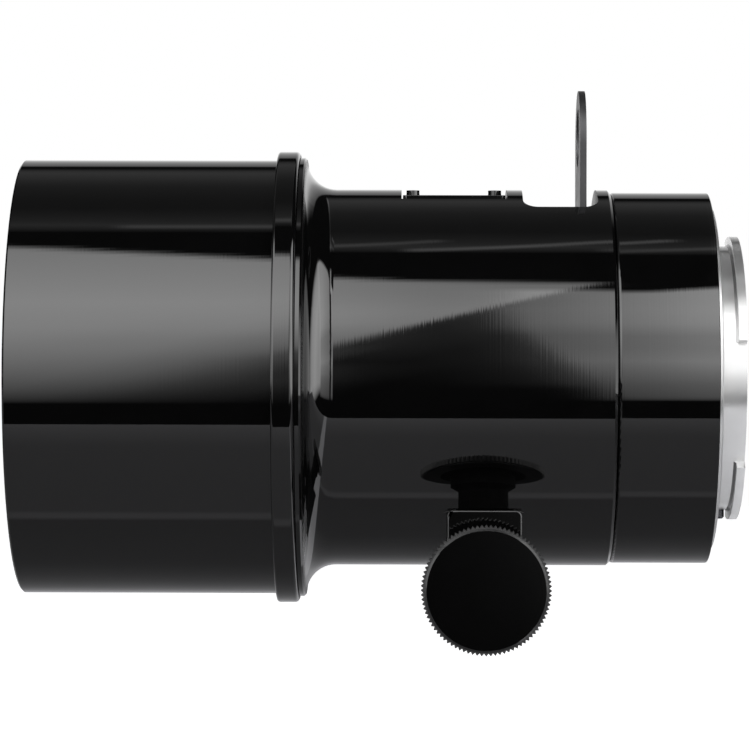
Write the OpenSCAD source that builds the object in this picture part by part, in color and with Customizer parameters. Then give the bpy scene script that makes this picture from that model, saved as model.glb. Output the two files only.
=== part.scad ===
// Portrait camera lens with a sliding optical tube, a rack-and-pinion focus knob,
// a drop-in aperture plate and a three-lug bayonet.
// Millimetres. The optical axis is X, the front looks to -X and Z is up.
// The origin is on the axis, in the plane of the mount's flange face.

/* [Barrel] */
// Length of the barrel from its rear edge to its front lip
barrel_len = 51.15; // [50:0.05:56]
// Wall of the barrel around the sliding tube
barrel_wall = 3.65; // [3.4:0.05:4]
// Step from the collar's surface down to the flared front lip's
lip_step = 1; // [0.5:0.1:2]
// Width of the flared front lip
lip_len = 1.05; // [0.9:0.05:2.5]

/* [Hood] */
// Outside diameter of the hood
hood_d = 72; // [68:0.5:80]
// Length of the hood in front of the collar
hood_len = 42.2; // [38:0.1:60]
// Wall of the hood
hood_wall = 1.8; // [1.4:0.1:2.2]
// Step from the hood's surface up to the collar's
collar_step = 1.45; // [0.5:0.05:3]
// Width of the collar
collar_len = 3.65; // [2.5:0.05:5]

/* [Mount] */
// Step from the rear ring's surface up to the barrel's
ring_step = 0.45; // [0.1:0.05:1]
// Length of the rear ring
ring_len = 16.17; // [15:0.01:20]
// Width of the rear ring's rim round the bright flange
flange_rim = 2.15; // [1.6:0.05:2.6]
// Thickness of the flange
flange_t = 2; // [1.6:0.1:3]
// Height of the flange face behind the rear ring
flange_proud = 0.7; // [0.3:0.1:0.8]
// Outside diameter of the bayonet tube
bayonet_d = 43.8; // [41:0.1:46]
// Width of the flange from the bayonet tube to its edge
flange_w = 6.7; // [6.2:0.1:7.4]
// Length of the bayonet tube behind the flange face
bayonet_len = 4.3; // [4:0.1:5]
// Reach of the bayonet lugs out from the tube
lug_reach = 1.6; // [1.2:0.1:1.8]
// Thickness of the bayonet lugs along the axis
lug_t = 1.35; // [1:0.05:1.6]

/* [Focus] */
// Travel of the optical tube towards the front
focus_travel = 9; // [6:0.5:9]
// Wall of the sliding tube
tube_wall = 2.2; // [2:0.1:2.5]
// Distance from the barrel's rear edge to the pinion
pinion_back = 20.9; // [20:0.1:22]
// Gear module of the rack and pinion
gear_module = 0.5; // [0.4:0.02:0.5]
// Teeth on the pinion
pinion_teeth = 16; // [14:1:16]
// Width of the rack
rack_w = 4; // [3:0.1:4.5]
// Diameter of the pinion shaft
shaft_d = 3; // [2.5:0.1:3.2]
// Diameter of the focus knob over its serrations
knob_d = 20.5; // [18:0.1:24]
// Thickness of the focus knob
knob_t = 3; // [2.8:0.1:5]
// Length of the knob's hub in front of the gear housing
hub_len = 12.4; // [10:0.1:16]
// Number of serrations round the knob
knob_teeth = 88; // [60:1:100]
// Wall of the gear housing beside the pinion
housing_wall = 1.25; // [1:0.05:2.5]
// Height of the gear housing's top edge above the pinion
housing_rise = 12; // [11:0.1:14]
// Height of the gear housing's face beside the barrel at that edge
housing_stand = 0.3; // [0.2:0.05:2]

/* [Aperture plate] */
// Width of the plate inside the lens
plate_w = 25; // [23:0.1:25.6]
// Thickness of the plate
plate_t = 1.1; // [0.8:0.05:1.3]
// Width of the handle above the barrel
handle_w = 18; // [15:0.1:20]
// Height of the handle's top above the axis
handle_top = 47.7; // [45:0.1:55]
// Diameter of the hole in the handle
grip_hole_d = 9.7; // [6:0.1:11]
// Diameter of the aperture
stop_d = 16; // [4:0.5:20]

/* [Optics] */
// Wall of the filter ring between the hood and its thread
filter_wall = 5.2; // [3.5:0.1:6]
// Ledge inside the filter thread, down to the front cell
filter_ledge = 2.1; // [1.5:0.1:3]
// Wall of the front cell round the front elements
cell_wall = 4.6; // [4:0.1:6]
// Step from the mount's throat down to the rear elements
rear_inset = 3.1; // [2.4:0.1:5]

/* [Fits] */
// Radial clearance of the sliding tube
slide_clear = 0.05; // [0.03:0.01:0.08]
// Radial clearance of the pinion shaft in its bushes
shaft_clear = 0.03; // [0.02:0.01:0.06]
// Gap between parts that move past each other
move_gap = 0.3; // [0.25:0.05:0.4]
// Gap between parts that are fixed to each other
seat_gap = 0.03; // [0.02:0.01:0.05]

/* [Hidden] */
$fn = 96;
lens_fn = 360;

// Finishes
gloss_black = "#141416";
matte_black = "#1c1c1e";
bright_metal = "#d4d4d8";
steel = "#8a8d92";
brass = "#b89a56";
glass = "#9fb8c4";
felt = "#26262a";

// Radii
bayonet_r = bayonet_d / 2;
lug_r = bayonet_r + lug_reach;
flange_r = bayonet_r + flange_w;
ring_r = flange_r + flange_rim;
barrel_r = ring_r + ring_step;
bore_r = barrel_r - barrel_wall;
tube_r = bore_r - slide_clear;
tube_in_r = tube_r - tube_wall;
hood_r = hood_d / 2;
hood_in_r = hood_r - hood_wall;
collar_r = hood_r + collar_step;
lip_r = collar_r - lip_step;
edge = 0.3;
fine_edge = 0.1;
ring_round = 0.6;
collar_front_round = 0.45;
collar_rear_round = 0.7;
cut_over = 1;
cove_top_r = lip_r - edge;
cove_r = cove_top_r - barrel_r;

// Stations along the axis, from the flange to the front
seam = seat_gap;
ring_front = -flange_proud - ring_len;
barrel_rear = ring_front - seam;
lip_front = barrel_rear - barrel_len;
parting = seat_gap;
collar_rear = lip_front - parting;
collar_front = collar_rear - collar_len;
hood_front = collar_front - hood_len;

// Rear ring, flange and bayonet
spigot_len = 5.5;
spigot_r = bore_r + barrel_wall / 2;
web_t = 3;
web_step = 1;
web_in_r = bayonet_r + web_step;
web_front = -flange_t - web_t;
tube_rear = web_front - move_gap;
relief_w = 0.5;
relief_r = lug_r + relief_w;
relief_t = 0.4;
bayonet_wall = 1.3;
throat_r = bayonet_r - bayonet_wall;
screw_circle_r = (relief_r + flange_r) / 2;
bayonet_screw_count = 5;
bayonet_screw_r = 0.8;
bayonet_head_r = 1.5;
bayonet_head_t = 0.9;
head_sink = 0.05;
cross_w = 0.5;
lug_spans = [[-14, 75], [128, 190], [243, 304]];
lug_front = bayonet_len - lug_t;
lug_root = 0.4;
stop_pin_r = 0.7;
stop_pin_x = lug_front - lug_root - fine_edge - stop_pin_r;
stop_pin_tip = lug_r - fine_edge;
stop_pin_root = throat_r + edge;
lock_slot_w = 2.1;
lock_slot_len = 1.8;

// Aperture plate, its guide and the notch in the barrel
plate_back = 4.6;
notch_lip = 2.3;
notch_side = 1.7;
notch_corner_r = 2.5;
notch_clear = 0.4;
plate_x = barrel_rear - plate_back;
plate_hw = plate_w / 2;
notch_rear = barrel_rear - notch_lip;
notch_front = plate_x - plate_t / 2 - focus_travel - notch_clear;
notch_hw = plate_hw + notch_side;
shoulder_sink = 0.5;
shoulder_z = sqrt(tube_r * tube_r - plate_hw * plate_hw) - shoulder_sink;
handle_hw = handle_w / 2;
handle_z = handle_top - handle_hw;
grip_rise = 1.2;
grip_z = handle_z + grip_rise;
guide_wall = 2.1;
guide_front = plate_x - plate_t / 2 - move_gap - guide_wall;
guide_rear = plate_x + plate_t / 2 + move_gap + guide_wall;
plate_lap = 1.3;
light_r = plate_hw - plate_lap;
slot_hw = plate_hw + move_gap;
slot_t = plate_t + 2 * move_gap;
spring_t = 0.25;
spring_w = 6;
spring_len = 9;
spring_rim = 2.6;
spring_high = tube_in_r - spring_rim;
spring_low = spring_high - spring_len;
spring_depth = 1;
spring_x = plate_x - slot_t / 2 - spring_depth;

// Guide plate, its recess and the key
recess_len = 17.4;
notch_bridge = 2.5;
recess_rear = notch_front - notch_bridge;
recess_front = recess_rear - recess_len;
recess_depth = 2;
recess_z = barrel_r - recess_depth;
guide_plate_t = 0.8;
guide_plate_w = 14;
guide_plate_inset = 0.25;
guide_screw_inset = 1.9;
guide_head_r = 1.1;
guide_head_t = 1.1;
guide_screw_r = 0.7;
screw_skin = 0.25;
guide_screw_len = recess_z - bore_r - screw_skin;
guide_slot_w = 0.45;
recess_mid = (recess_front + recess_rear) / 2;
key_w = 4;
key_len = 8;
key_side = 0.12;
key_depth = 1;
keyway_depth = key_depth + move_gap;

// Gears
pitch = PI * gear_module;
pitch_r = gear_module * pinion_teeth / 2;
addendum_share = 0.9;
dedendum_share = 1.2;
addendum = addendum_share * gear_module;
dedendum = dedendum_share * gear_module;
pressure = 20;
backlash = 0.06;
base_r = pitch_r * cos(pressure);
pinion_tip_r = pitch_r + addendum;
pinion_root_r = pitch_r - dedendum;
pinion_w = 5;
rack_body = 1.8;
rack_flat_depth = 0.6;
rack_back_z = -(tube_r - rack_flat_depth);
rack_pitch_z = rack_back_z - rack_body - dedendum;
rack_tip_z = rack_pitch_z - addendum;
shaft_z = rack_pitch_z - pitch_r;
shaft_x = barrel_rear - pinion_back;
shaft_r = shaft_d / 2;
rack_spare_teeth = 2.25;
rack_margin = rack_spare_teeth * pitch;
rack_front = shaft_x - rack_margin;
rack_rear = shaft_x + focus_travel + rack_margin;
rack_screw_r = 0.8;
rack_head_r = 1.3;
rack_head_t = 0.65;
rack_screw_inset = 2;
rack_head_sink = 0.15;
rack_screw_skin = 0.6;
rack_head_z = -tube_in_r - rack_head_t - rack_head_sink;
rack_screw_tip = rack_back_z - rack_body + rack_screw_skin;
rack_half = (pitch / 2 - backlash) / 2;
rack_first = -floor(rack_spare_teeth);
rack_last = floor((focus_travel + rack_margin) / pitch - addendum_share);

// Gear housing
pocket_r = pinion_tip_r + move_gap;
housing_hw = pocket_r + housing_wall;
housing_corner = 1;
housing_top_z = shaft_z + housing_rise;
housing_face = sqrt(barrel_r * barrel_r - housing_top_z * housing_top_z) + housing_stand;
housing_floor = 1.6;
housing_bottom_z = shaft_z - pocket_r - housing_floor;
pocket_hy = pinion_w / 2 + move_gap;
housing_far = 9.5;
bush_wall = 1;
near_bush_r = shaft_r + bush_wall;
near_bush_len = 9;
far_bush_r = pocket_r - seat_gap;
housing_screw_r = 0.8;
housing_head_r = 1.5;
housing_head_t = 1.6;
housing_screw_dx = (near_bush_r + housing_hw) / 2;
housing_screw_ys = [-10, -18];
housing_bite = 1.8;

// Knob
knob_r = knob_d / 2;
washer_t = 0.4;
washer_r = 3.6;
hub_wall = 2.6;
hub_r = shaft_r + hub_wall;
boss_step = 1.2;
boss_r = hub_r + boss_step;
boss_len = 4.5;
boss_taper = 1.7;
hub_face = -housing_face - washer_t;
knob_back = hub_face - hub_len;
knob_front = knob_back - knob_t;
neck_end = knob_back + boss_len + boss_taper;
neck_mid = (neck_end + hub_face) / 2;
serration = 0.45;
knob_step = 0.1;
knob_bevel = 0.35;
knob_land = 0.3;
knob_skin = 2.5;
bush_skin = 1.5;
shaft_near = knob_front + knob_skin;
shaft_far = housing_far - bush_skin;
grub_r = 0.9;

// Light seal
seal_w = 2;
seal_len = 2.5;
seal_r = bore_r + seal_w;
retainer_t = 1.6;
seal_depth = edge + retainer_t + seal_len + seat_gap;

// Front group
filter_r = hood_in_r - filter_wall;
cell_r = filter_r - filter_ledge - move_gap;
front_r = cell_r - cell_wall;
cell_flange_t = 2.8;
cell_spigot_len = 8;
crown_front_radius = 55;
crown_rear_radius = 50;
crown_edge_t = 1.8;
crown_t = crown_edge_t + sag(crown_front_radius, front_r) + sag(crown_rear_radius, front_r);
flint_t = 2.5;
cement = 0.02;
flint_back = collar_front - move_gap;
flint_vertex = flint_back - flint_t;
crown_back = flint_vertex - cement;
crown_vertex = crown_back - crown_t;
cell_guard = 1.6;
cell_front = crown_vertex - cell_guard;
thread_step = 2;
front_thread_r = front_r + thread_step;
front_lap = 1.1;
front_stop_r = front_r - front_lap;
shoulder = 1.5;
crown_edge = crown_vertex + sag(crown_front_radius, front_stop_r);
front_retainer_t = 2.8;
spanner_w = 1.5;
spanner_depth = 0.8;
filter_floor_t = 1.2;
filter_thread_len = 4.1;
filter_clear = 0.4;
filter_floor = cell_front - filter_clear;
filter_front = filter_floor - filter_thread_len;

// Rear group
rear_r = throat_r - rear_inset;
cell_sink = 0.2;
rear_cell_rear = tube_rear - cell_sink;
rear_cell_front = guide_rear + cell_sink;
flint2_front_radius = 60;
flint2_rear_radius = 35;
flint2_t = 1.8;
crown2_front_radius = 40;
crown2_rear_radius = 70;
crown2_edge_t = 1.75;
crown2_t = crown2_edge_t + sag(crown2_front_radius, rear_r) + sag(crown2_rear_radius, rear_r);
rear_lap = 1.4;
rear_stop_r = rear_r - rear_lap;
rear_retainer_t = 1.25;
rear_retainer_front = rear_cell_rear - rear_retainer_t;
crown2_back = rear_retainer_front - seat_gap + sag(crown2_rear_radius, rear_stop_r);
crown2_vertex = crown2_back - crown2_t;
spacer_len = 0.8;
spacer_rear = crown2_vertex + sag(crown2_front_radius, rear_stop_r) - seat_gap;
spacer_front = spacer_rear - spacer_len;
flint2_back = spacer_front - seat_gap - sag(flint2_rear_radius, rear_r);
flint2_vertex = flint2_back - flint2_t;
flint2_seat = flint2_vertex + sag(flint2_front_radius, rear_stop_r) - seat_gap;
rear_thread_step = 1.1;
rear_thread_r = rear_r + rear_thread_step;
rear_ring_seat = crown2_back - sag(crown2_rear_radius, rear_r);
baffle_wall = 1.2;

// Depth of a spherical surface at a height above its axis
function sag(radius, height) = radius - sqrt(radius * radius - height * height);

// Involute of an angle, in degrees
function inv(a) = tan(a) * 180 / PI - a;

// Half the angle that a pinion tooth fills at a radius
function tooth_half(r) =
    (pitch / 2 - backlash) / 2 / pitch_r * 180 / PI + inv(pressure) - inv(acos(min(1, base_r / r)));

function polar(r, a) = [r * cos(a), r * sin(a)];

// Turns a profile drawn as [radius, station] about the optical axis
module turned() {
    rotate([0, 90, 0]) rotate_extrude() children();
}

// Ring between two radii and two stations
module ring(r_in, r_out, x0, x1) {
    turned() translate([r_in, x0]) square([r_out - r_in, x1 - x0]);
}

// Ring with its outer corners rounded, the rear one more than the front one
module rounded_ring(r_in, r_out, x0, x1, front_round, rear_round) {
    rear_r = r_out - rear_round;
    front_r = r_out - front_round;
    rear_x = x1 - rear_round;
    front_x = x0 + front_round;
    turned() {
        translate([r_in, x0]) square([rear_r - r_in, x1 - x0]);
        translate([r_in, x0]) square([front_r - r_in, rear_x - x0]);
        translate([r_in, front_x]) square([r_out - r_in, rear_x - front_x]);
        translate([rear_r, rear_x]) circle(rear_round);
        translate([front_r, front_x]) circle(front_round);
    }
}

module rod_x(r, x0, x1) {
    translate([x0, 0, 0]) rotate([0, 90, 0]) cylinder(r = r, h = x1 - x0);
}

module rod_y(r, y0, y1) {
    translate([0, y1, 0]) rotate([90, 0, 0]) cylinder(r = r, h = y1 - y0);
}

module rod_z(r, z0, z1) {
    translate([0, 0, z0]) cylinder(r = r, h = z1 - z0);
}

// Extrudes a profile drawn as [x, z] from y0 to y1
module along_y(y0, y1) {
    translate([0, y1, 0]) rotate([90, 0, 0]) linear_extrude(y1 - y0) children();
}

// Extrudes a profile drawn as [y, z] from x0 to x1
module along_x(x0, x1) {
    translate([x0, 0, 0]) rotate([90, 0, 90]) linear_extrude(x1 - x0) children();
}

// Box given by its low and high corners
module box(low, high) {
    translate(low) cube(high - low);
}

// Rectangle with round corners, given by its low and high corners
module round_rect(low, high, r) {
    translate(low + [r, 0]) square(high - low - [2 * r, 0]);
    translate(low + [0, r]) square(high - low - [0, 2 * r]);
    for (x = [low.x + r, high.x - r])
        for (y = [low.y + r, high.y - r])
            translate([x, y]) circle(r);
}

// Screw along Z with its head at the top and a slot across it
module slotted_screw(shank_r, head_r, head_t, len, slot_w) {
    difference() {
        union() {
            rod_z(shank_r, -len, 0);
            rod_z(head_r, 0, head_t);
        }
        translate([-2 * head_r, -slot_w / 2, head_t / 2]) cube([4 * head_r, slot_w, head_t]);
    }
}

module at_guide_screws() {
    for (x = [recess_front + guide_screw_inset, recess_rear - guide_screw_inset])
        translate([x, 0, recess_z]) children();
}

// Places a child at each housing screw, with $under_z set to the barrel's underside there
module at_housing_screws() {
    for (dx = [-housing_screw_dx, housing_screw_dx])
        for (y = housing_screw_ys)
            let ($under_z = -sqrt(barrel_r * barrel_r - y * y))
                translate([shaft_x + dx, y, 0]) children();
}

module at_rack_screws() {
    for (x = [rack_front + rack_screw_inset, rack_rear - rack_screw_inset])
        translate([x, 0, 0]) children();
}

module at_bayonet_screws() {
    for (i = [0 : bayonet_screw_count - 1])
        rotate([360 / bayonet_screw_count * (i + 0.5), 0, 0])
            translate([0, 0, screw_circle_r]) children();
}

// Barrel body: the fixed sleeve and what is fastened to it

module barrel_profile() {
    cove_end = lip_front + lip_len + cove_r;
    difference() {
        polygon([
            [bore_r, lip_front + seal_depth], [seal_r, lip_front + seal_depth], [seal_r, lip_front],
            [lip_r - fine_edge, lip_front], [lip_r, lip_front + fine_edge],
            [lip_r, lip_front + lip_len - edge], [cove_top_r, lip_front + lip_len],
            [cove_top_r, cove_end], [barrel_r, cove_end],
            [barrel_r, barrel_rear - ring_step], [ring_r, barrel_rear],
            [spigot_r, barrel_rear], [spigot_r, barrel_rear + spigot_len],
            [bore_r, barrel_rear + spigot_len]
        ]);
        translate([cove_top_r, cove_end]) circle(cove_r);
    }
}

module outer_barrel() {
    color(gloss_black) difference() {
        turned() barrel_profile();
        // notch that the aperture plate travels in
        translate([0, 0, bore_r / 2]) linear_extrude(barrel_r)
            round_rect([notch_front, -notch_hw], [notch_rear, notch_hw], notch_corner_r);
        // flat for the guide plate, with the key's slot and the screw holes
        box([recess_front, -barrel_r, recess_z], [recess_rear, barrel_r, 2 * barrel_r]);
        box(
            [recess_mid - key_len / 2 - seat_gap, -key_w / 2 - seat_gap, bore_r / 2],
            [recess_mid + key_len / 2 + seat_gap, key_w / 2 + seat_gap, barrel_r]
        );
        at_guide_screws() rod_z(guide_screw_r + seat_gap, -guide_screw_len - seat_gap, cut_over);
        // groove for the rack, open at the rear, and the pinion's window
        box(
            [rack_front - focus_travel - 2 * move_gap, -rack_w / 2 - move_gap, rack_tip_z - move_gap],
            [0, rack_w / 2 + move_gap, -bore_r / 2]
        );
        box(
            [shaft_x - pocket_r, -pocket_hy, -2 * barrel_r],
            [shaft_x + pocket_r, pocket_hy, -bore_r / 2]
        );
        at_housing_screws()
            rod_z(housing_screw_r + seat_gap, -2 * barrel_r, $under_z + housing_bite + seat_gap);
    }
}

module rear_ring() {
    spigot_rear = barrel_rear + spigot_len + seat_gap;
    color(gloss_black) difference() {
        turned() {
            polygon([
                [spigot_r + seat_gap, ring_front], [ring_r - ring_round, ring_front],
                [ring_r - ring_round, ring_front + ring_round], [ring_r, ring_front + ring_round],
                [ring_r, -flange_proud - fine_edge], [ring_r - fine_edge, -flange_proud],
                [flange_r + seat_gap, -flange_proud], [flange_r + seat_gap, -flange_t],
                [web_in_r, -flange_t], [web_in_r, web_front], [bore_r, web_front],
                [bore_r, spigot_rear], [spigot_r + seat_gap, spigot_rear]
            ]);
            translate([ring_r - ring_round, ring_front + ring_round]) circle(ring_round);
        }
        at_bayonet_screws() rod_x(bayonet_screw_r + seat_gap, web_front - cut_over, 0);
    }
}

module bayonet_mount() {
    color(bright_metal) difference() {
        union() {
            turned() polygon([
                [throat_r, -flange_t], [flange_r, -flange_t],
                [flange_r, -edge / 2], [flange_r - edge / 2, 0],
                [relief_r, 0], [relief_r, -relief_t], [bayonet_r, -relief_t],
                [bayonet_r, bayonet_len], [throat_r, bayonet_len]
            ]);
            for (span = lug_spans) lug(span);
        }
        at_bayonet_screws() {
            rod_x(bayonet_screw_r + seat_gap, -2 * flange_t, 0);
            screw_cone(seat_gap);
            rod_x(bayonet_head_r + seat_gap, -head_sink, cut_over);
        }
        translate([stop_pin_x, 0, 0]) rod_z(stop_pin_r + seat_gap, -2 * lug_r, -stop_pin_root);
        // slot for the camera's locking pin
        box(
            [-flange_t / 2, -screw_circle_r - lock_slot_len / 2, -lock_slot_w / 2],
            [cut_over, -screw_circle_r + lock_slot_len / 2, lock_slot_w / 2]
        );
    }
}

// Lug between two angles, counted from the top towards the knob's side
module lug(span) {
    intersection() {
        turned() polygon([
            [throat_r + edge, lug_front - lug_root], [bayonet_r, lug_front - lug_root],
            [bayonet_r + lug_root, lug_front], [lug_r, lug_front], [lug_r, bayonet_len],
            [throat_r + edge, bayonet_len]
        ]);
        along_x(0, 2 * bayonet_len) polygon(concat([[0, 0]], [
            for (k = [0 : 4])
                let (a = span[0] + (span[1] - span[0]) * k / 4)
                    [-2 * lug_r * sin(a), 2 * lug_r * cos(a)]
        ]));
    }
}

// Countersunk head of a bayonet screw, grown by a gap
module screw_cone(gap) {
    translate([-head_sink - bayonet_head_t, 0, 0]) rotate([0, 90, 0])
        cylinder(r1 = bayonet_screw_r + gap, r2 = bayonet_head_r + gap, h = bayonet_head_t);
}

// Pin under the tube that ends the turn into the camera
module bayonet_stop() {
    color(steel) translate([stop_pin_x, 0, 0]) {
        rod_z(stop_pin_r, -stop_pin_tip + edge, -stop_pin_root - seat_gap);
        translate([0, 0, -stop_pin_tip]) cylinder(r1 = stop_pin_r - edge, r2 = stop_pin_r, h = edge);
    }
}

module bayonet_screws() {
    color(steel) at_bayonet_screws() difference() {
        union() {
            rod_x(bayonet_screw_r, web_front + seat_gap, -head_sink - bayonet_head_t);
            screw_cone(0);
        }
        for (turn = [0, 90])
            rotate([turn, 0, 0]) box(
                [-head_sink - bayonet_head_t / 2, -bayonet_screw_r, -cross_w / 2],
                [cut_over, bayonet_screw_r, cross_w / 2]
            );
    }
}

module rear_baffle() {
    out_r = throat_r - seat_gap;
    front = -flange_t + edge;
    color(matte_black) turned() polygon([
        [rear_r + edge, front], [out_r, front], [out_r, bayonet_len - edge],
        [out_r - baffle_wall, bayonet_len - edge], [out_r - baffle_wall, front + baffle_wall],
        [rear_r + edge, front + baffle_wall]
    ]);
}

module guide_plate() {
    color(gloss_black) difference() {
        translate([0, 0, recess_z]) linear_extrude(guide_plate_t) round_rect(
            [recess_front + guide_plate_inset, -guide_plate_w / 2],
            [recess_rear - guide_plate_inset, guide_plate_w / 2],
            2 * edge
        );
        at_guide_screws() rod_z(guide_screw_r + seat_gap, -cut_over, 2 * guide_plate_t);
    }
}

module guide_key() {
    color(steel) box(
        [recess_mid - key_len / 2, -key_w / 2, tube_r - key_depth],
        [recess_mid + key_len / 2, key_w / 2, recess_z]
    );
}

module guide_plate_screws() {
    shank_len = guide_plate_t + guide_screw_len;
    color(gloss_black) at_guide_screws() translate([0, 0, guide_plate_t])
        slotted_screw(guide_screw_r, guide_head_r, guide_head_t, shank_len, guide_slot_w);
}

module pinion_housing() {
    color(gloss_black) difference() {
        along_y(-housing_face, housing_far) translate([shaft_x, 0]) round_rect(
            [-housing_hw, housing_bottom_z], [housing_hw, housing_top_z], housing_corner
        );
        rod_x(barrel_r + seat_gap, lip_front, barrel_rear);
        translate([shaft_x, 0, shaft_z]) {
            rod_y(pocket_r, -pocket_hy, 2 * housing_far);
            rod_y(near_bush_r + seat_gap, -2 * housing_face, -housing_face + near_bush_len);
            rod_y(shaft_r + move_gap, -housing_face, 0);
            box([-pocket_r, -pocket_hy, 0], [pocket_r, pocket_hy, barrel_r]);
        }
        at_housing_screws() {
            rod_z(housing_screw_r + seat_gap, 2 * housing_bottom_z, 0);
            rod_z(housing_head_r + seat_gap, 2 * housing_bottom_z, housing_bottom_z + housing_head_t);
        }
    }
}

module housing_screws() {
    head_z = housing_bottom_z + housing_head_t;
    color(steel) at_housing_screws() difference() {
        union() {
            rod_z(housing_screw_r, head_z, $under_z + housing_bite);
            rod_z(housing_head_r, housing_bottom_z + edge, head_z);
        }
        translate([0, 0, housing_bottom_z])
            cylinder(r = housing_screw_r, h = housing_head_t / 2 + edge, $fn = 6);
    }
}

module near_bush() {
    color(brass) translate([shaft_x, 0, shaft_z]) difference() {
        rod_y(near_bush_r, -housing_face, -housing_face + near_bush_len);
        rod_y(shaft_r + shaft_clear, -2 * housing_face, 0);
    }
}

module far_bush() {
    color(brass) difference() {
        translate([shaft_x, 0, shaft_z]) difference() {
            rod_y(far_bush_r, pocket_hy, housing_far);
            rod_y(shaft_r + shaft_clear, 0, shaft_far + move_gap);
        }
        rod_x(barrel_r + seat_gap, lip_front, barrel_rear);
    }
}

module felt_seal() {
    color(felt) ring(
        tube_r + 2 * slide_clear, seal_r - seat_gap,
        lip_front + edge + retainer_t, lip_front + seal_depth - seat_gap
    );
}

module seal_retainer() {
    color(matte_black)
        ring(tube_r + move_gap, seal_r - seat_gap, lip_front + edge, lip_front + edge + retainer_t);
}

// Tube body: the sliding tube, the optics and the hood

module inner_tube() {
    color(matte_black) difference() {
        ring(tube_in_r, tube_r, collar_front, tube_rear);
        // slot for the aperture plate
        box([plate_x - slot_t / 2, -slot_hw, 0], [plate_x + slot_t / 2, slot_hw, barrel_r]);
        // keyway for the guide key
        box(
            [recess_mid - key_len / 2 - move_gap, -key_w / 2 - key_side, tube_r - keyway_depth],
            [recess_mid + key_len / 2 + focus_travel + move_gap, key_w / 2 + key_side, barrel_r]
        );
        // seat for the rack and its screws
        box(
            [rack_front - seat_gap, -rack_w / 2 - seat_gap, -barrel_r],
            [rack_rear + seat_gap, rack_w / 2 + seat_gap, rack_back_z]
        );
        at_rack_screws() {
            rod_z(rack_screw_r + seat_gap, -barrel_r, 0);
            rod_z(rack_head_r + seat_gap, rack_head_z, 0);
        }
    }
}

module rack_profile() {
    root_half = rack_half + dedendum * tan(pressure);
    tip_half = rack_half - addendum * tan(pressure);
    root_z = rack_back_z - rack_body;
    polygon(concat(
        [[rack_front, rack_back_z], [rack_front, root_z]],
        [
            for (i = [rack_first : rack_last])
                let (x = shaft_x + (i + 0.5) * pitch)
                    each [
                        [x - root_half, root_z], [x - tip_half, rack_tip_z],
                        [x + tip_half, rack_tip_z], [x + root_half, root_z]
                    ]
        ],
        [[rack_rear, root_z], [rack_rear, rack_back_z]]
    ));
}

module focus_rack() {
    color(brass) difference() {
        along_y(-rack_w / 2, rack_w / 2) rack_profile();
        at_rack_screws() rod_z(rack_screw_r + seat_gap, rack_screw_tip - seat_gap, 0);
    }
}

module rack_screws() {
    shank_len = rack_head_z - rack_screw_tip;
    color(steel) at_rack_screws() translate([0, 0, rack_head_z])
        slotted_screw(rack_screw_r, rack_head_r, rack_head_t, shank_len, guide_slot_w);
}

module front_collar() {
    color(gloss_black) rounded_ring(
        tube_r + seat_gap, collar_r, collar_front, collar_rear, collar_front_round, collar_rear_round
    );
}

module hood() {
    color(gloss_black) turned() polygon([
        [hood_in_r, hood_front + edge], [hood_in_r + edge, hood_front],
        [hood_r - edge, hood_front], [hood_r, hood_front + edge],
        [hood_r, collar_front], [hood_in_r, collar_front]
    ]);
}

module filter_ring() {
    out_r = hood_in_r - seat_gap;
    in_r = cell_r + move_gap;
    rear = filter_floor + filter_floor_t;
    color(matte_black) turned() polygon([
        [in_r, rear], [out_r, rear], [out_r, filter_front], [filter_r + edge, filter_front],
        [filter_r, filter_front + edge], [filter_r, filter_floor], [in_r, filter_floor]
    ]);
}

module front_cell() {
    spigot_rear = collar_front + cell_spigot_len;
    flange_front = collar_front - cell_flange_t;
    shoulder_r = front_r - shoulder;
    seat_x = flint_back + seat_gap;
    color(matte_black) turned() polygon([
        [shoulder_r, spigot_rear], [tube_in_r - seat_gap, spigot_rear],
        [tube_in_r - seat_gap, collar_front],
        [hood_in_r - seat_gap, collar_front], [hood_in_r - seat_gap, flange_front],
        [cell_r, flange_front], [cell_r, cell_front], [front_thread_r, cell_front],
        [front_thread_r, crown_edge], [front_r + seat_gap, crown_edge],
        [front_r + seat_gap, seat_x], [shoulder_r, seat_x]
    ]);
}

// Ball whose surface crosses the axis at a station, with its centre to the rear if radius is positive
module ball_at(x, radius) {
    translate([x + radius, 0, 0]) sphere(abs(radius), $fn = lens_fn);
}

module front_crown() {
    color(glass) intersection() {
        rod_x(front_r, crown_vertex, crown_back);
        ball_at(crown_vertex, crown_front_radius);
        ball_at(crown_back, -crown_rear_radius);
    }
}

module front_flint() {
    rim = flint_vertex - sag(crown_rear_radius, front_r - edge);
    color(glass) difference() {
        rod_x(front_r, rim, flint_back);
        ball_at(flint_vertex, -crown_rear_radius);
    }
}

// Cuts slots for a spanner across both sides of a ring's face
module spanner_slots(x0, x1) {
    box([x0, -2 * front_r, -spanner_w / 2], [x1, 2 * front_r, spanner_w / 2]);
}

module front_retainer() {
    rear = crown_edge - seat_gap;
    front = rear - front_retainer_t;
    color(matte_black) difference() {
        ring(front_stop_r, front_thread_r - seat_gap, front, rear);
        spanner_slots(front - cut_over, front + spanner_depth);
    }
}

module stop_guide() {
    color(matte_black) difference() {
        rod_x(tube_in_r - seat_gap, guide_front, guide_rear);
        rod_x(light_r, guide_front - cut_over, guide_rear + cut_over);
        rod_x(slot_hw, plate_x - slot_t / 2, plate_x + slot_t / 2);
        box([plate_x - slot_t / 2, -slot_hw, 0], [plate_x + slot_t / 2, slot_hw, barrel_r]);
        box(
            [spring_x, -spring_w / 2 - seat_gap, spring_low],
            [plate_x, spring_w / 2 + seat_gap, spring_high]
        );
    }
}

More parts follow.
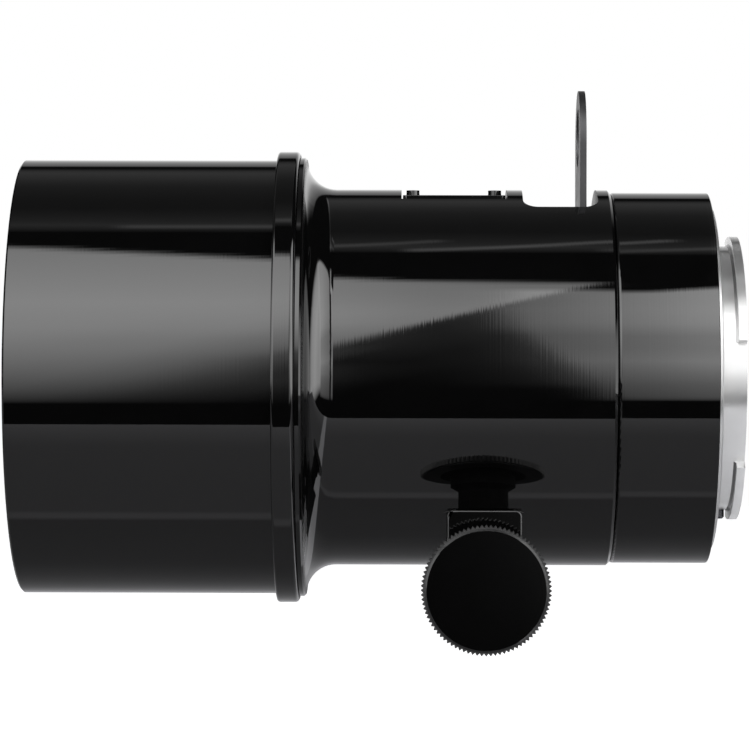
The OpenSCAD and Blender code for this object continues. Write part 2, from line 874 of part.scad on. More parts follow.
// Leaf bowed towards the plate
module plate_spring() {
    bow = plate_x - plate_t / 2 - 2 * seat_gap;
    foot = spring_x + seat_gap;
    low = spring_low + seat_gap;
    high = spring_high - seat_gap;
    bend_low = low + (high - low) / 3;
    bend_high = high - (high - low) / 3;
    color(steel) along_y(-spring_w / 2, spring_w / 2) polygon([
        [foot, low], [foot + spring_t, low], [bow, bend_low], [bow, bend_high],
        [foot + spring_t, high], [foot, high], [bow - spring_t, bend_high], [bow - spring_t, bend_low]
    ]);
}

module rear_cell() {
    color(matte_black) turned() polygon([
        [rear_stop_r, rear_cell_front], [tube_in_r - seat_gap, rear_cell_front],
        [tube_in_r - seat_gap, rear_cell_rear], [rear_thread_r, rear_cell_rear],
        [rear_thread_r, rear_ring_seat], [rear_r + seat_gap, rear_ring_seat],
        [rear_r + seat_gap, flint2_seat], [rear_stop_r, flint2_seat]
    ]);
}

module rear_flint() {
    rim = flint2_back + sag(flint2_rear_radius, rear_r - edge);
    color(glass) difference() {
        intersection() {
            rod_x(rear_r, flint2_vertex, rim);
            ball_at(flint2_vertex, flint2_front_radius);
        }
        ball_at(flint2_back, flint2_rear_radius);
    }
}

module rear_spacer() {
    color(matte_black) ring(rear_stop_r, rear_r, spacer_front, spacer_rear);
}

module rear_crown() {
    color(glass) intersection() {
        rod_x(rear_r, crown2_vertex, crown2_back);
        ball_at(crown2_vertex, crown2_front_radius);
        ball_at(crown2_back, -crown2_rear_radius);
    }
}

module rear_retainer() {
    color(matte_black) difference() {
        ring(rear_stop_r, rear_thread_r - seat_gap, rear_retainer_front, rear_cell_rear);
        spanner_slots(rear_cell_rear - spanner_depth, rear_cell_rear + cut_over);
    }
}

// Aperture plate body

module aperture_plate() {
    color(steel) along_x(plate_x - plate_t / 2, plate_x + plate_t / 2) difference() {
        union() {
            circle(plate_hw);
            translate([-plate_hw, 0]) square([plate_w, shoulder_z]);
            translate([-handle_hw, 0]) square([handle_w, handle_z]);
            translate([0, handle_z]) circle(handle_hw);
        }
        circle(stop_d / 2);
        translate([0, grip_z]) circle(grip_hole_d / 2);
    }
}

// Knob body: the shaft, the pinion and the knob

module pinion_shaft() {
    color(steel) translate([shaft_x, 0, shaft_z]) rod_y(shaft_r, shaft_near, shaft_far);
}

module pinion() {
    flank = [for (k = [0 : 6]) base_r + (pinion_tip_r - base_r) * k / 6];
    radii = concat([pinion_root_r], flank);
    last = len(radii) - 1;
    color(brass) along_y(-pinion_w / 2, pinion_w / 2) translate([shaft_x, shaft_z]) difference() {
        polygon([
            for (i = [0 : pinion_teeth - 1])
                let (a = 90 + 360 / pinion_teeth * i)
                    each concat(
                        [for (k = [0 : last]) polar(radii[k], a - tooth_half(radii[k]))],
                        [for (k = [last : -1 : 0]) polar(radii[k], a + tooth_half(radii[k]))]
                    )
        ]);
        circle(shaft_r + seat_gap);
    }
}

module focus_knob() {
    valley_r = knob_r - serration;
    core_r = valley_r - knob_step;
    color(gloss_black) translate([shaft_x, 0, shaft_z]) difference() {
        union() {
            rod_y(hub_r, knob_back, hub_face);
            rod_y(boss_r, knob_back, knob_back + boss_len);
            translate([0, neck_end, 0]) rotate([90, 0, 0])
                cylinder(r1 = hub_r, r2 = boss_r, h = boss_taper);
            rod_y(core_r, knob_front + knob_bevel, knob_back);
            translate([0, knob_front + knob_bevel, 0]) rotate([90, 0, 0])
                cylinder(r1 = core_r, r2 = core_r - knob_bevel, h = knob_bevel);
            along_y(knob_front + knob_bevel, knob_back - knob_land) polygon([
                for (i = [0 : 2 * knob_teeth - 1])
                    polar(i % 2 == 0 ? knob_r : valley_r, 180 / knob_teeth * i)
            ]);
        }
        rod_y(shaft_r + seat_gap, shaft_near - seat_gap, 0);
        translate([0, neck_mid, 0]) rod_z(grub_r + seat_gap, -2 * hub_r, 0);
    }
}

module knob_grub_screw() {
    color(steel) translate([shaft_x, neck_mid, shaft_z]) difference() {
        rod_z(grub_r, -hub_r + edge, -shaft_r - seat_gap);
        rod_z(grub_r / 2, -2 * hub_r, -hub_r + 3 * edge, $fn = 6);
    }
}

module friction_washer() {
    color(felt) translate([shaft_x, 0, shaft_z]) difference() {
        rod_y(washer_r, hub_face, -housing_face - washer_t / 4);
        rod_y(shaft_r + seat_gap, -2 * housing_face, 0);
    }
}

outer_barrel();
rear_ring();
bayonet_mount();
bayonet_screws();
bayonet_stop();
rear_baffle();
guide_plate();
guide_key();
guide_plate_screws();
pinion_housing();
housing_screws();
near_bush();
far_bush();
felt_seal();
seal_retainer();
inner_tube();
focus_rack();
rack_screws();
front_collar();
hood();
filter_ring();
front_cell();
front_crown();
front_flint();
front_retainer();
stop_guide();
plate_spring();
rear_cell();
rear_flint();
rear_spacer();
rear_crown();
rear_retainer();
aperture_plate();
pinion_shaft();
pinion();
focus_knob();
knob_grub_screw();
friction_washer();
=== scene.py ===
import math

import bmesh
import bpy
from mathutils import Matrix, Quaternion, Vector


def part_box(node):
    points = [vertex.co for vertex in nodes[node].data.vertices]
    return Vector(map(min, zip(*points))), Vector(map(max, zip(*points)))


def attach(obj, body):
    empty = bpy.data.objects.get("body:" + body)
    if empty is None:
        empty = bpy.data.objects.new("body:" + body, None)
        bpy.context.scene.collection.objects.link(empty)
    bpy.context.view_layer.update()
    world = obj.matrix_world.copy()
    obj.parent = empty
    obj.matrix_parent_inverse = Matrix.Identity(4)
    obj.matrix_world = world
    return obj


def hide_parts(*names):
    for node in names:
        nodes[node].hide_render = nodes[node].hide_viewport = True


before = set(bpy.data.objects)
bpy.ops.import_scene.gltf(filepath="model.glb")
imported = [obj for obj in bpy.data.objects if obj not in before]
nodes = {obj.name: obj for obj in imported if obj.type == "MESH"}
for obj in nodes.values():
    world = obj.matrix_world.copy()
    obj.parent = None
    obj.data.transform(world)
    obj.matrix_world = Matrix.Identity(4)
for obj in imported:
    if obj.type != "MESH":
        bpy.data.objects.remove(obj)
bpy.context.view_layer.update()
scene = bpy.context.scene
scene.view_settings.view_transform = "Standard"

MM = 0.001
MICRON = 0.000001

# Where the camera stood: 600 mm from the optical axis, level with it
CAMERA_FOOT_X = -49.0 * MM
CAMERA_DISTANCE = 600.0 * MM
CAMERA_AIM = Vector((-55.7 * MM, 0.0, 0.35 * MM))
CAMERA_LENS = 172.8
CAMERA_ROLL = math.radians(0.15)

# Radii and places of the solids that masks and added pieces follow
HOOD_IN_R = 34.2 * MM
FRONT_LENS_R = 22.0 * MM
REAR_LENS_R = 17.5 * MM
FILTER_R = 29.0 * MM
FILTER_FLOOR_T = 1.2 * MM
KNOB_X = -37.8 * MM
KNOB_Z = -33.3 * MM
KNOB_HUB_R = 7.0 * MM
KNOB_FACE_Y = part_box("focus_knob")[0][1]

# How far a mask reaches past the surface that it covers
HOOD_SKIN = 0.2 * MM
KNOB_SKIN = 0.05 * MM
LENS_SKIN = 0.12 * MM

# Refractive index of the hard black enamel
GLOSS_IOR = 1.8

# The part of the noise's range that is spread out, as little of it lies beyond
NOISE_SPAN = (0.3, 0.7)


# Small tools for building node materials

class Graph:
    """A node tree, with short calls for the nodes that materials and the world share."""

    def __init__(self, tree):
        self.tree = tree
        self.tree.nodes.clear()

    def add(self, kind, settings=None, **inputs):
        node = self.tree.nodes.new(kind)
        for key, value in (settings or {}).items():
            setattr(node, key, value)
        for key, value in inputs.items():
            self.feed(node.inputs[key.replace("_", " ")], value)
        return node

    def feed(self, socket, value):
        if isinstance(value, bpy.types.NodeSocket):
            self.tree.links.new(value, socket)
        else:
            socket.default_value = value

    def math(self, operation, a, b=0.0, c=0.0):
        node = self.add("ShaderNodeMath", {"operation": operation})
        for socket, value in zip(node.inputs, (a, b, c)):
            self.feed(socket, value)
        return node.outputs[0]

    def smooth(self, value, low, high):
        """0 at low, 1 at high, smooth between."""
        node = self.add("ShaderNodeMapRange", {"interpolation_type": "SMOOTHSTEP"}, Value=value)
        node.inputs["From Min"].default_value = low
        node.inputs["From Max"].default_value = high
        return node.outputs[0]

    def remap(self, value, low, high, to_low, to_high):
        """Straight from one range to another, held at its ends."""
        node = self.add("ShaderNodeMapRange", Value=value)
        ends = {"From Min": low, "From Max": high, "To Min": to_low, "To Max": to_high}
        for key, number in ends.items():
            node.inputs[key].default_value = number
        return node.outputs[0]


class Shader(Graph):
    """A material's node tree."""

    def __init__(self, name):
        self.material = bpy.data.materials.new(name)
        self.material.use_nodes = True
        super().__init__(self.material.node_tree)
        self.output = self.add("ShaderNodeOutputMaterial")

    def place(self):
        """The rest position of a point, which doesn't change as its body moves."""
        if not hasattr(self, "coordinates"):
            self.texture = self.add("ShaderNodeTexCoord")
            self.coordinates = self.texture.outputs["Object"]
            self.split = self.add("ShaderNodeSeparateXYZ", Vector=self.coordinates)
        return self.coordinates

    def along(self, axis):
        self.place()
        return self.split.outputs[axis]

    def facing(self, axis):
        """How far the surface faces along an axis at rest, from -1 to 1."""
        self.place()
        return self.add("ShaderNodeSeparateXYZ", Vector=self.texture.outputs["Normal"]).outputs[axis]

    def radius(self, first, second, centre=(0.0, 0.0)):
        """Distance from an axis, given the two coordinates across it."""
        a = self.math("SUBTRACT", self.along(first), centre[0])
        b = self.math("SUBTRACT", self.along(second), centre[1])
        return self.math("SQRT", self.math("ADD", self.math("MULTIPLY", a, a), self.math("MULTIPLY", b, b)))

    def noise(self, size, detail=2.0, roughness=0.5):
        """Even noise with features of about this size."""
        node = self.add("ShaderNodeTexNoise", Vector=self.place())
        node.inputs["Scale"].default_value = 1.0 / size
        node.inputs["Detail"].default_value = detail
        node.inputs["Roughness"].default_value = roughness
        return node.outputs["Fac"]

    def wander(self, size, low, high, detail=4.0):
        """A value that drifts from low to high and back over patches of about this size."""
        return self.remap(self.noise(size, detail=detail), *NOISE_SPAN, low, high)

    def rings(self, value, size, detail=2.0):
        """Lines of uneven depth along one measure, such as the marks of a turning tool."""
        node = self.add("ShaderNodeTexNoise", {"noise_dimensions": "1D"}, W=value)
        node.inputs["Scale"].default_value = 1.0 / size
        node.inputs["Detail"].default_value = detail
        return node.outputs["Fac"]

    def bump(self, height, depth, under=None, strength=1.0):
        node = self.add("ShaderNodeBump", Height=height, Distance=depth, Strength=strength)
        if under is not None:
            self.feed(node.inputs["Normal"], under)
        return node.outputs["Normal"]

    def principled(self, **inputs):
        return self.add("ShaderNodeBsdfPrincipled", **inputs)

    def mix(self, factor, first, second):
        node = self.add("ShaderNodeMixShader", Fac=factor)
        self.feed(node.inputs[1], first.outputs[0])
        self.feed(node.inputs[2], second.outputs[0])
        return node

    def shade(self, colours, value):
        """A colour between two, by a value from 0 to 1."""
        node = self.add("ShaderNodeMix", {"data_type": "RGBA"})
        self.feed(node.inputs[0], value)
        for socket, colour in zip((node.inputs[6], node.inputs[7]), colours):
            self.feed(socket, colour if isinstance(colour, bpy.types.NodeSocket) else (*colour, 1.0))
        return node.outputs[2]

    def sum(self, first, second):
        """Both surfaces added together, such as a colour and a glow."""
        node = self.add("ShaderNodeAddShader")
        self.feed(node.inputs[0], first.outputs[0])
        self.feed(node.inputs[1], second.outputs[0])
        return node

    def finish(self, surface):
        self.feed(self.output.inputs["Surface"], surface.outputs[0])
        return self.material


def grey(level):
    """A grey that is a touch cool."""
    return (level, level, level * 1.03)


# Finishes

# How far roughness wanders on matte and on bare metal, and the bare metal's turned marks
MATTE_SPREAD = 0.06
METAL_SPREAD = 0.05
METAL_LAY = 0.15 * MM
METAL_DEPTH = 1.5 * MICRON
# Added roughness of painted faces square to the axis
SQUARE_DULL = 0.28


def paint_layer(s, measure):
    """Gloss black enamel over fine turning marks, duller on faces square to the axis."""
    endwise = s.math("ABSOLUTE", s.facing("X"))
    marks = s.bump(
        s.rings(measure, 0.32 * MM, detail=2.0), 0.8 * MICRON, strength=s.remap(endwise, 0.1, 0.4, 1.0, 0.0)
    )
    peel = s.bump(s.noise(1.1 * MM, detail=1.0), 0.4 * MICRON, under=marks)
    square = s.remap(endwise, 0.93, 0.99, 0.0, 1.0)
    haze = s.wander(14 * MM, 0.015, 0.035)
    dull = s.math("MULTIPLY_ADD", square, SQUARE_DULL, c=haze)
    tone = s.shade([grey(0.0008), grey(0.0016)], s.noise(6 * MM, detail=3.0))
    return s.principled(Base_Color=tone, Roughness=dull, IOR=GLOSS_IOR, Normal=peel)


def matte_layer(s, measure, level, roughness, specular=0.5):
    """Dull black with a fine turned lay."""
    marks = s.bump(s.rings(measure, 0.18 * MM, detail=3.0), 5 * MICRON)
    grain = s.bump(s.noise(0.12 * MM, detail=1.0), 2 * MICRON, under=marks)
    rough = s.wander(3 * MM, roughness - MATTE_SPREAD, roughness + MATTE_SPREAD, detail=3.0)
    tone = s.shade([grey(level * 0.8), grey(level * 1.25)], s.noise(2 * MM, detail=4.0))
    return s.principled(
        Base_Color=tone, Roughness=rough, IOR=GLOSS_IOR, Specular_IOR_Level=specular, Normal=grain
    )


def paint():
    s = Shader("gloss_black_paint")
    return s.finish(paint_layer(s, s.along("X")))


def paint_outside(inner_r):
    """Gloss paint outside, and matte black inside a radius."""
    s = Shader("gloss_outside_matte_inside")
    inside = s.math("LESS_THAN", s.radius("Y", "Z"), inner_r)
    matte = matte_layer(s, s.along("X"), level=0.016, roughness=0.7)
    return s.finish(s.mix(inside, paint_layer(s, s.along("X")), matte))


def satin_edge():
    """Painted edge that the buffing has left a little dull."""
    s = Shader("satin_black_edge")
    return s.finish(matte_layer(s, s.along("Z"), level=0.012, roughness=0.3))


def knob_black():
    """Gloss face, satin rim and a hub made near black and dull as a painted shade round the neck, all turned
    on the knob's own axis.
    """
    s = Shader("black_knob")
    measure = s.radius("X", "Z", (KNOB_X, KNOB_Z))
    face = s.math("LESS_THAN", s.along("Y"), KNOB_FACE_Y + KNOB_SKIN)
    hub_shade_mask = s.math("LESS_THAN", measure, KNOB_HUB_R)
    satin = matte_layer(s, s.along("Y"), level=0.012, roughness=0.32, specular=0.45)
    # Painted shade: the hub is near black with hardly any shine, standing for the shadow between housing,
    # knob and barrel
    hub_painted_shade = matte_layer(s, s.along("Y"), level=0.003, roughness=0.8, specular=0.1)
    return s.finish(s.mix(face, s.mix(hub_shade_mask, satin, hub_painted_shade), paint_layer(s, measure)))


def anodised():
    s = Shader("black_anodised")
    return s.finish(matte_layer(s, s.along("X"), level=0.02, roughness=0.6))


def anodised_face():
    s = Shader("black_anodised_face")
    return s.finish(matte_layer(s, s.radius("Y", "Z"), level=0.02, roughness=0.5))


def metal(name, colour, roughness, axis):
    """Bare metal with uneven polish and turned marks along an axis, or out from the optical axis for R."""
    s = Shader(name)
    measure = s.radius("Y", "Z") if axis == "R" else s.along(axis)
    marks = s.bump(s.rings(measure, METAL_LAY, detail=3.0), METAL_DEPTH)
    worn = s.bump(s.noise(0.6 * MM, detail=3.0), METAL_DEPTH * 0.5, under=marks)
    rough = s.wander(2.5 * MM, roughness - METAL_SPREAD, roughness + METAL_SPREAD)
    dark = tuple(c * 0.86 for c in colour)
    tone = s.shade([dark, colour], s.noise(1.6 * MM, detail=4.0))
    return s.finish(s.principled(Base_Color=tone, Metallic=1.0, Roughness=rough, Normal=worn))


def chrome():
    """Satin chrome with turned marks along the tube and round the flange. Faces turned forward and up or down
    are darker, a painted dark reflection and shade at the lugs' fronts.
    """
    s = Shader("satin_chrome")
    along = s.bump(s.rings(s.along("X"), 0.12 * MM, detail=3.0), 1.2 * MICRON)
    around = s.bump(s.rings(s.radius("Y", "Z"), 0.2 * MM, detail=3.0), 1.5 * MICRON, under=along)
    polished = s.shade([(0.88, 0.88, 0.88), (0.95, 0.95, 0.95)], s.noise(3 * MM, detail=4.0))
    # Painted dark reflection and shade: faces turned forward and up or down get a dark grey in place of the
    # polish
    painted_dark_forward = s.remap(s.facing("X"), -0.35, -0.6, 0.0, 1.0)
    painted_dark_tilt = s.remap(s.math("ABSOLUTE", s.facing("Z")), 0.25, 0.45, 0.0, 1.0)
    tone = s.shade([polished, (0.3, 0.3, 0.3)], s.math("MULTIPLY", painted_dark_forward, painted_dark_tilt))
    gloss = s.wander(2 * MM, 0.14, 0.22)
    sharp = s.principled(Base_Color=tone, Metallic=1.0, Roughness=gloss, Normal=around)
    broad = s.principled(Base_Color=tone, Metallic=1.0, Roughness=0.5, Normal=around)
    return s.finish(s.mix(0.4, sharp, broad))


def blackened():
    """Chemically blackened steel, brushed lengthwise, darker on its cut edges."""
    s = Shader("blackened_plate")
    brushed = s.bump(s.rings(s.along("Y"), 0.12 * MM, detail=3.0), 2 * MICRON)
    rough = s.wander(2 * MM, 0.32, 0.45)
    flat = s.shade([grey(0.16), grey(0.26)], s.noise(1.5 * MM, detail=5.0))
    side = s.remap(s.math("ABSOLUTE", s.facing("X")), 0.3, 0.8, 1.0, 0.0)
    tone = s.shade([flat, grey(0.08)], side)
    return s.finish(s.principled(Base_Color=tone, Metallic=0.85, Roughness=rough, Normal=brushed))


def lens_glass(name, rim_r, film):
    """Glass with a coating of film nanometres, and a ground and blackened rim."""
    s = Shader(name)
    rim = s.math("GREATER_THAN", s.radius("Y", "Z"), rim_r - LENS_SKIN)
    glass = s.principled(Base_Color=(0.985, 0.99, 0.985, 1.0), Roughness=0.0, IOR=1.52)
    glass.inputs["Transmission Weight"].default_value = 1.0
    glass.inputs["Thin Film Thickness"].default_value = film
    glass.inputs["Thin Film IOR"].default_value = 1.38
    ground = s.principled(Base_Color=s.shade([grey(0.01), grey(0.02)], s.noise(0.3 * MM)), Roughness=0.8)
    return s.finish(s.mix(rim, glass, ground))


def felt():
    s = Shader("black_felt")
    fuzz = s.bump(s.noise(0.15 * MM, detail=4.0, roughness=0.7), 60 * MICRON)
    tone = s.shade([grey(0.01), grey(0.03)], s.noise(0.3 * MM, detail=4.0))
    return s.finish(s.principled(Base_Color=tone, Roughness=0.95, Normal=fuzz, Sheen_Weight=0.4))


def fibre():
    s = Shader("fibre_washer")
    tone = s.shade([(0.07, 0.04, 0.025), (0.12, 0.075, 0.05)], s.noise(0.4 * MM, detail=5.0))
    pits = s.bump(s.noise(0.1 * MM, detail=3.0), 10 * MICRON)
    return s.finish(s.principled(Base_Color=tone, Roughness=0.75, Normal=pits))


finishes = {
    paint(): [
        "outer_barrel", "rear_ring", "guide_plate", "guide_plate_screws", "pinion_housing", "front_collar",
    ],
    paint_outside(HOOD_IN_R + HOOD_SKIN): ["hood"],
    knob_black(): ["focus_knob"],
    anodised(): ["seal_retainer", "inner_tube", "filter_ring", "stop_guide", "rear_baffle", "rear_spacer"],
    anodised_face(): ["front_cell", "front_retainer", "rear_cell", "rear_retainer"],
    chrome(): ["bayonet_mount"],
    metal("turned_steel", colour=(0.5, 0.51, 0.53), roughness=0.3, axis="R"): [
        "bayonet_screws", "guide_key", "housing_screws", "rack_screws", "plate_spring", "pinion_shaft",
        "knob_grub_screw",
    ],
    metal("dark_steel", colour=(0.12, 0.12, 0.13), roughness=0.25, axis="Z"): ["bayonet_stop"],
    metal("turned_brass", colour=(0.72, 0.52, 0.22), roughness=0.3, axis="Y"): [
        "near_bush", "far_bush", "focus_rack", "pinion",
    ],
    blackened(): ["aperture_plate"],
    lens_glass("front_coated_glass", FRONT_LENS_R, film=480.0): ["front_crown", "front_flint"],
    lens_glass("rear_coated_glass", REAR_LENS_R, film=420.0): ["rear_flint", "rear_crown"],
    felt(): ["felt_seal"],
    fibre(): ["friction_washer"],
}
for finish, names in finishes.items():
    for name in names:
        nodes[name].data.materials.clear()
        nodes[name].data.materials.append(finish)


# Small bevels on the solids' sharp edges, so that the edges catch the light

def break_edges(name, width, edge_finish=None):
    weld = nodes[name].modifiers.new("weld", "WELD")
    weld.merge_threshold = MICRON
    bevel = nodes[name].modifiers.new("bevel", "BEVEL")
    bevel.width = width
    bevel.segments = 4
    bevel.limit_method = "ANGLE"
    bevel.angle_limit = math.radians(35)
    bevel.harden_normals = True
    bevel.use_clamp_overlap = False
    if edge_finish:
        nodes[name].data.materials.append(edge_finish)
        bevel.material = len(nodes[name].data.materials) - 1


break_edges("pinion_housing", 0.25 * MM, satin_edge())
break_edges("guide_plate", 0.1 * MM)
break_edges("aperture_plate", 0.08 * MM)


# The collar, turned again with finer rounds than the solid's facets give

COLLAR_FRONT_ROUND = 0.45 * MM
COLLAR_REAR_ROUND = 0.7 * MM
COLLAR_BORE_R = 27.53 * MM
# Width of the narrow faces beside a round that keep the flats' shading flat
FLAT_GUARD = 0.04 * MM
TURN_STEPS = 384
ROUND_STEPS = 10


def arc(x, r, size, start, end):
    """Points (x, radius) of a round about a centre, between two angles from the axis in degrees."""
    turns = [math.radians(start + (end - start) * k / ROUND_STEPS) for k in range(ROUND_STEPS + 1)]
    return [(x + size * math.cos(a), r + size * math.sin(a)) for a in turns]


def turned(name, profile, material):
    """A ring from a closed profile of (x, radius) points."""
    shape = bmesh.new()
    rows = []
    for k in range(TURN_STEPS):
        a = 2 * math.pi * k / TURN_STEPS
        rows.append([shape.verts.new((x, r * math.cos(a), r * math.sin(a))) for x, r in profile])
    for low, high in zip(rows, rows[1:] + rows[:1]):
        for i in range(len(profile)):
            j = (i + 1) % len(profile)
            shape.faces.new((low[i], low[j], high[j], high[i]))
    bmesh.ops.recalc_face_normals(shape, faces=shape.faces)
    mesh = bpy.data.meshes.new(name)
    shape.to_mesh(mesh)
    shape.free()
    mesh.shade_smooth()
    mesh.set_sharp_from_angle(angle=math.radians(30))
    mesh.materials.append(material)
    piece = bpy.data.objects.new(name, mesh)
    scene.collection.objects.link(piece)
    return piece


def collar():
    low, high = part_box("front_collar")
    front, rear, r = low[0], high[0], high[2]
    front_mid, rear_mid = front + COLLAR_FRONT_ROUND, rear - COLLAR_REAR_ROUND
    front_r, rear_r = r - COLLAR_FRONT_ROUND, r - COLLAR_REAR_ROUND
    profile = [(front, COLLAR_BORE_R), (front, front_r - FLAT_GUARD)]
    profile += arc(front_mid, front_r, COLLAR_FRONT_ROUND, 180, 90)
    profile += [(front_mid + FLAT_GUARD, r), (rear_mid - FLAT_GUARD, r)]
    profile += arc(rear_mid, rear_r, COLLAR_REAR_ROUND, 90, 0)
    profile += [(rear, rear_r - FLAT_GUARD), (rear, COLLAR_BORE_R)]
    piece = turned("turned_collar", profile, nodes["front_collar"].data.materials[0])
    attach(piece, "optical_tube")
    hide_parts("front_collar")


collar()


# Screw thread for filters, wound inside the filter ring

THREAD_PITCH = 0.75 * MM
THREAD_DEPTH = 0.4 * MM
THREAD_STEPS = 128
THREAD_ROOT = 0.05 * MM
# Room before and after the thread, and the steps over which it rises and dies out
THREAD_BEFORE = 0.6 * MM
THREAD_AFTER = 0.4 * MM
RUN_STEPS = 24
# The ridge across: share of the pitch, and height over the wall
RIDGE = [(-0.46, THREAD_ROOT), (-0.07, -THREAD_DEPTH), (0.07, -THREAD_DEPTH), (0.46, THREAD_ROOT)]


def filter_thread():
    ring_low, ring_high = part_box("filter_ring")
    start = ring_low[0] + THREAD_BEFORE
    turns = (ring_high[0] - FILTER_FLOOR_T - THREAD_AFTER - start) / THREAD_PITCH
    steps = int(turns * THREAD_STEPS)
    shape = bmesh.new()
    rows = []
    for k in range(steps + 1):
        angle = 2 * math.pi * k / THREAD_STEPS
        grow = min(1.0, k / RUN_STEPS, (steps - k) / RUN_STEPS)
        row = []
        for across, rise in RIDGE:
            r = FILTER_R + (rise * grow if rise < 0 else rise)
            x = start + THREAD_PITCH * (k / THREAD_STEPS + across)
            row.append(shape.verts.new((x, r * math.cos(angle), r * math.sin(angle))))
        rows.append(row)
    for low, high in zip(rows, rows[1:]):
        for i in range(len(RIDGE) - 1):
            shape.faces.new((low[i], high[i], high[i + 1], low[i + 1]))
    mesh = bpy.data.meshes.new("filter_thread")
    shape.to_mesh(mesh)
    shape.free()
    mesh.materials.append(nodes["filter_ring"].data.materials[0])
    piece = bpy.data.objects.new("filter_thread", mesh)
    scene.collection.objects.link(piece)
    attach(piece, "optical_tube")


filter_thread()


# Camera

camera = bpy.data.objects.new("camera", bpy.data.cameras.new("camera"))
scene.collection.objects.link(camera)
camera.data.lens = CAMERA_LENS
camera.data.sensor_width = 36.0
camera.data.clip_start = 0.05
camera.data.clip_end = 50.0
camera.location = (CAMERA_FOOT_X, -CAMERA_DISTANCE, 0.0)
aim = (CAMERA_AIM - camera.location).to_track_quat("-Z", "Y")
camera.rotation_euler = (aim @ Quaternion((0.0, 0.0, 1.0), CAMERA_ROLL)).to_euler()
scene.camera = camera


# Studio: two curved softboxes that leave a dark gap round the camera, a dim ceiling with thin tubes along it,
# a strip for the mount, a panel off each end of the lens, a pale floor and a white surround

def between(value, stops):
    """Straight-line interpolation through (position, level) stops."""
    if value <= stops[0][0]:
        return stops[0][1]
    for (x0, y0), (x1, y1) in zip(stops, stops[1:]):
        if value <= x1:
            return y0 + (y1 - y0) * (value - x0) / (x1 - x0)
    return stops[-1][1]


def between_rows(position, value, rows):
    """The same, with stops that change along a second measure: rows are (value, stops)."""
    return between(value, [(at, between(position, stops)) for at, stops in rows])


# All lamps' levels are multiplied by this, so that a grey card of 0.18 by the lens renders at 0.20 to 0.29
LAMP_LEVEL = 0.49


def glowing_sheet(name, grid, levels):
    """An unseen sheet of light from a grid of points and a level at each."""
    columns = len(grid[0])
    faces = []
    for j in range(len(grid) - 1):
        for i in range(columns - 1):
            a = j * columns + i
            faces.append((a, a + columns, a + columns + 1, a + 1))
    mesh = bpy.data.meshes.new(name)
    mesh.from_pydata([point for row in grid for point in row], [], faces)
    attribute = mesh.attributes.new("glow", "FLOAT", "POINT")
    attribute.data.foreach_set("value", [LAMP_LEVEL * level for row in levels for level in row])
    piece = bpy.data.objects.new(name, mesh)
    scene.collection.objects.link(piece)
    s = Shader(name + "_light")
    strength = s.add("ShaderNodeAttribute", {"attribute_name": "glow"}).outputs["Fac"]
    clear = s.add("ShaderNodeBsdfTransparent")
    mesh.materials.append(s.finish(s.sum(s.add("ShaderNodeEmission", Strength=strength), clear)))
    piece.visible_camera = False
    piece.visible_shadow = False


def scrim(name, reach, elevations, offsets, edge, glow):
    """A scrim curved round the optical axis. Its columns follow a slanting edge at these offsets."""
    grid, levels = [], []
    for e in elevations:
        angle = math.radians(e)
        y, z = -reach * math.cos(angle), reach * math.sin(angle)
        grid.append([(CAMERA_FOOT_X + (between(e, edge) + offset) * MM, y, z) for offset in offsets])
        levels.append([glow(offset, e) for offset in offsets])
    glowing_sheet(name, grid, levels)


# Places across are in millimetres from the camera's foot, offsets from a softbox's inner edge, and
# elevations in degrees:
# LEVEL by elevation
# EDGE, the place across of the slanting inner edge, by elevation
# PROFILE, the share of the level by offset, at a few elevations
# TOP, the elevation of the upper edge, by place across
# SPREAD, a further share of the level, by place across
# The softboxes' LEVEL and PROFILE stops partly follow brightness read from the photo, which is an open fault
LEFT_LEVEL = [
    (-14, 0), (-12, 0.6), (-7, 1.38), (4, 2.8), (14, 4), (25, 5), (38, 5.5), (52, 4.8), (66, 4.1), (90, 3),
]
LEFT_EDGE = [(-14, -132), (56, 73), (90, 170)]
LEFT_PROFILE = [
    (-2, [(-66, 1.0), (-31, 0.79), (4, 0.38), (30, 0.21), (42, 0.18), (67, 0.05), (90, 0.0)]),
    (9, [(-98, 1.0), (-63, 0.93), (-28, 0.7), (-2, 0.41), (10, 0.3), (30, 0.04), (60, 0.0)]),
    (19, [(-131, 1.0), (-96, 0.94), (-61, 0.91), (-31, 0.75), (-4, 0.7), (8, 0.08), (30, 0.03), (60, 0.0)]),
    (32, [(-45, 1.0), (-4, 0.95), (4, 0.03), (16, 0.0)]),
]
LEFT_TOP = [
    (-1100, 86), (-400, 78), (-163, 69.8), (-129, 67.4), (-68, 63.4), (-30, 61.2), (-6, 59.5), (60, 58.5),
]
LEFT_SPREAD = [(-70, 1.0), (-30, 0.9), (0, 0.78), (40, 0.72)]
RIGHT_LEVEL = [
    (-14, 0), (-12, 1), (-4, 1.54), (3, 2.3), (10, 3.16), (18, 2.8), (25, 2.88), (33, 3.96), (41, 4.2),
    (60, 3.8), (80, 3.2),
]
RIGHT_EDGE = [(-14, 87), (5, 70), (18, 57), (30, 47), (45, 47), (80, 40)]
RIGHT_PROFILE = [
    (-7, [(-30, 0.0), (-10, 0.06), (0, 0.5), (8, 1.0)]),
    (-3, [(-90, 0.0), (-65, 0.02), (-41, 0.05), (-19, 0.14), (0, 0.55), (8, 1.0)]),
    (10, [(-90, 0.01), (-50, 0.05), (-28, 0.07), (-6, 0.28), (2, 0.75), (6, 1.0)]),
    (25, [(-90, 0.02), (-57, 0.06), (-36, 0.08), (-14, 0.14), (-5, 0.35), (4, 1.0)]),
    (41, [(-60, 0.05), (-32, 0.09), (-16, 0.24), (-10, 0.55), (-4, 0.8), (4, 1.0)]),
    (50, [(-30, 0.0), (-10, 0.2), (-4, 0.5), (4, 0.9), (20, 1.0)]),
]
